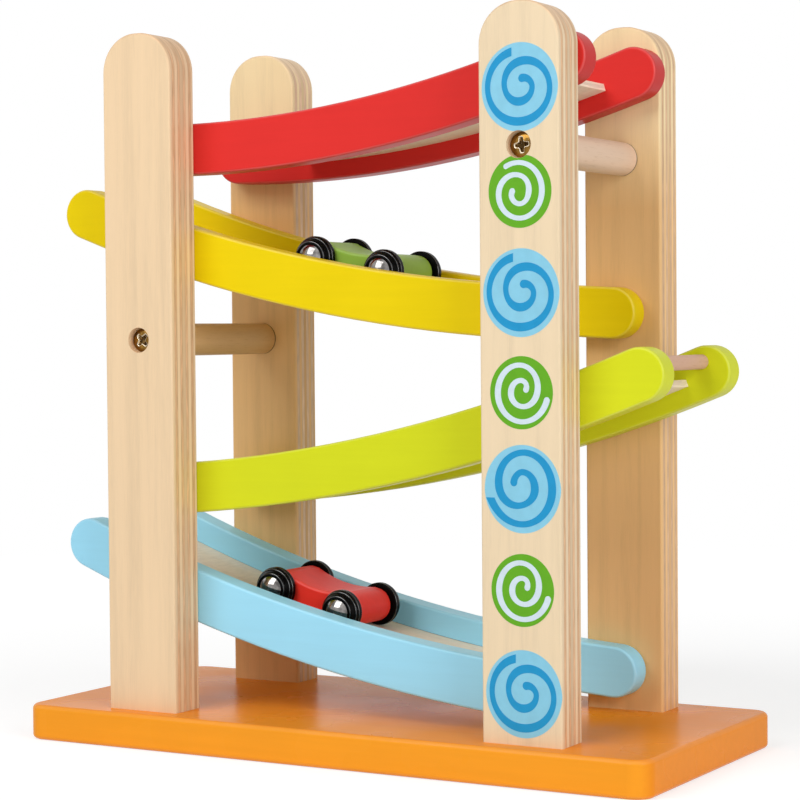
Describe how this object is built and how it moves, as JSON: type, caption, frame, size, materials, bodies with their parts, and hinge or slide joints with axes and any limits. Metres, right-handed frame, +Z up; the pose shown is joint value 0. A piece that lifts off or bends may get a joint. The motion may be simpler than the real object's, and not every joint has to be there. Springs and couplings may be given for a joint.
{
  "type": "click clack track toy",
  "caption": "Wooden tower toy with curved tracks between posts: small cars roll down each track, drop at its low end and run back on the next.",
  "frame": {"origin": "middle of the base board's underside, where the toy stands", "axes": "+X along the tracks, to the side where the top track is high; +Y from the front rails to the back rails; +Z up"},
  "size_m": [0.292, 0.131, 0.301],
  "materials": {
    "orange_paint": "satin paint on solid wood",
    "birch_plywood": "clear lacquer on plywood, plies bare on the edges",
    "red_paint": "satin paint on solid wood",
    "yellow_paint": "satin paint on solid wood",
    "green_paint": "satin paint on solid wood",
    "blue_paint": "satin paint on solid wood",
    "floor_plywood": "thin bent plywood, clear lacquer",
    "dowel_wood": "turned dowel, clear lacquer",
    "peg_wood": "bare dowel",
    "yellow_zinc_screw": "bright yellow zinc",
    "steel_screw": "bright zinc",
    "green_car_paint": "gloss paint on solid wood",
    "red_car_paint": "gloss paint on solid wood",
    "axle_steel": "drawn wire",
    "black_plastic": "gloss",
    "hub_chrome": "polished"
  },
  "bodies": {
    "tower": {"base_board": "orange_paint", "post_front_left": "birch_plywood", "post_front_right": "birch_plywood", "post_back_left": "birch_plywood", "post_back_right": "birch_plywood", "red_rail_front": "red_paint", "red_rail_back": "red_paint", "red_floor": "floor_plywood", "yellow_rail_front": "yellow_paint", "yellow_rail_back": "yellow_paint", "yellow_floor": "floor_plywood", "yellow_stop": "dowel_wood", "green_rail_front": "green_paint", "green_rail_back": "green_paint", "green_floor": "floor_plywood", "green_stop": "dowel_wood", "blue_rail_front": "blue_paint", "blue_rail_back": "blue_paint", "blue_floor": "floor_plywood", "blue_stop": "dowel_wood", "spacer_left": "dowel_wood", "spacer_right": "dowel_wood", "spacer_screws": "yellow_zinc_screw", "post_screws": "steel_screw", "rail_pegs": "peg_wood"},
    "green_car": {"green_car_body": "green_car_paint"},
    "green_car_wheels_left": {"green_car_axle_left": "axle_steel", "green_car_wheel_left_front": "black_plastic", "green_car_wheel_left_back": "black_plastic", "green_car_cap_left_front": "hub_chrome", "green_car_cap_left_back": "hub_chrome"},
    "green_car_wheels_right": {"green_car_axle_right": "axle_steel", "green_car_wheel_right_front": "black_plastic", "green_car_wheel_right_back": "black_plastic", "green_car_cap_right_front": "hub_chrome", "green_car_cap_right_back": "hub_chrome"},
    "red_car": {"red_car_body": "red_car_paint"},
    "red_car_wheels_left": {"red_car_axle_left": "axle_steel", "red_car_wheel_left_front": "black_plastic", "red_car_wheel_left_back": "black_plastic", "red_car_cap_left_front": "hub_chrome", "red_car_cap_left_back": "hub_chrome"},
    "red_car_wheels_right": {"red_car_axle_right": "axle_steel", "red_car_wheel_right_front": "black_plastic", "red_car_wheel_right_back": "black_plastic", "red_car_cap_right_front": "hub_chrome", "red_car_cap_right_back": "hub_chrome"}
  },
  "joints": [
    {"name": "green_car_roll", "type": "hinge", "parent": "tower", "child": "green_car", "pos_m": [0.12197, 0, 0.90109], "axis": [0, -1, 0], "range_deg": [-7.5, 3.57]},
    {"name": "green_car_left_wheels_turn", "type": "hinge", "parent": "green_car", "child": "green_car_wheels_left", "pos_m": [-0.02704, 0, 0.20617], "axis": [0, -1, 0], "range_deg": [-279.49, 587.06]},
    {"name": "green_car_right_wheels_turn", "type": "hinge", "parent": "green_car", "child": "green_car_wheels_right", "pos_m": [0.00637, 0, 0.19983], "axis": [0, -1, 0], "range_deg": [-279.49, 587.06]},
    {"name": "red_car_roll", "type": "hinge", "parent": "tower", "child": "red_car", "pos_m": [0.14005, 0, 0.75026], "axis": [0, -1, 0], "range_deg": [-5.77, 5.4]},
    {"name": "red_car_left_wheels_turn", "type": "hinge", "parent": "red_car", "child": "red_car_wheels_left", "pos_m": [-0.0484, 0, 0.06498], "axis": [0, -1, 0], "range_deg": [-422.71, 451.67]},
    {"name": "red_car_right_wheels_turn", "type": "hinge", "parent": "red_car", "child": "red_car_wheels_right", "pos_m": [-0.01541, 0, 0.05675], "axis": [0, -1, 0], "range_deg": [-422.71, 451.67]}
  ],
  "couplings": [
    {"joint": "green_car_left_wheels_turn", "follows": "green_car_roll", "ratio": -78.261},
    {"joint": "green_car_right_wheels_turn", "follows": "green_car_roll", "ratio": -78.261},
    {"joint": "red_car_left_wheels_turn", "follows": "red_car_roll", "ratio": -78.261},
    {"joint": "red_car_right_wheels_turn", "follows": "red_car_roll", "ratio": -78.261}
  ]
}
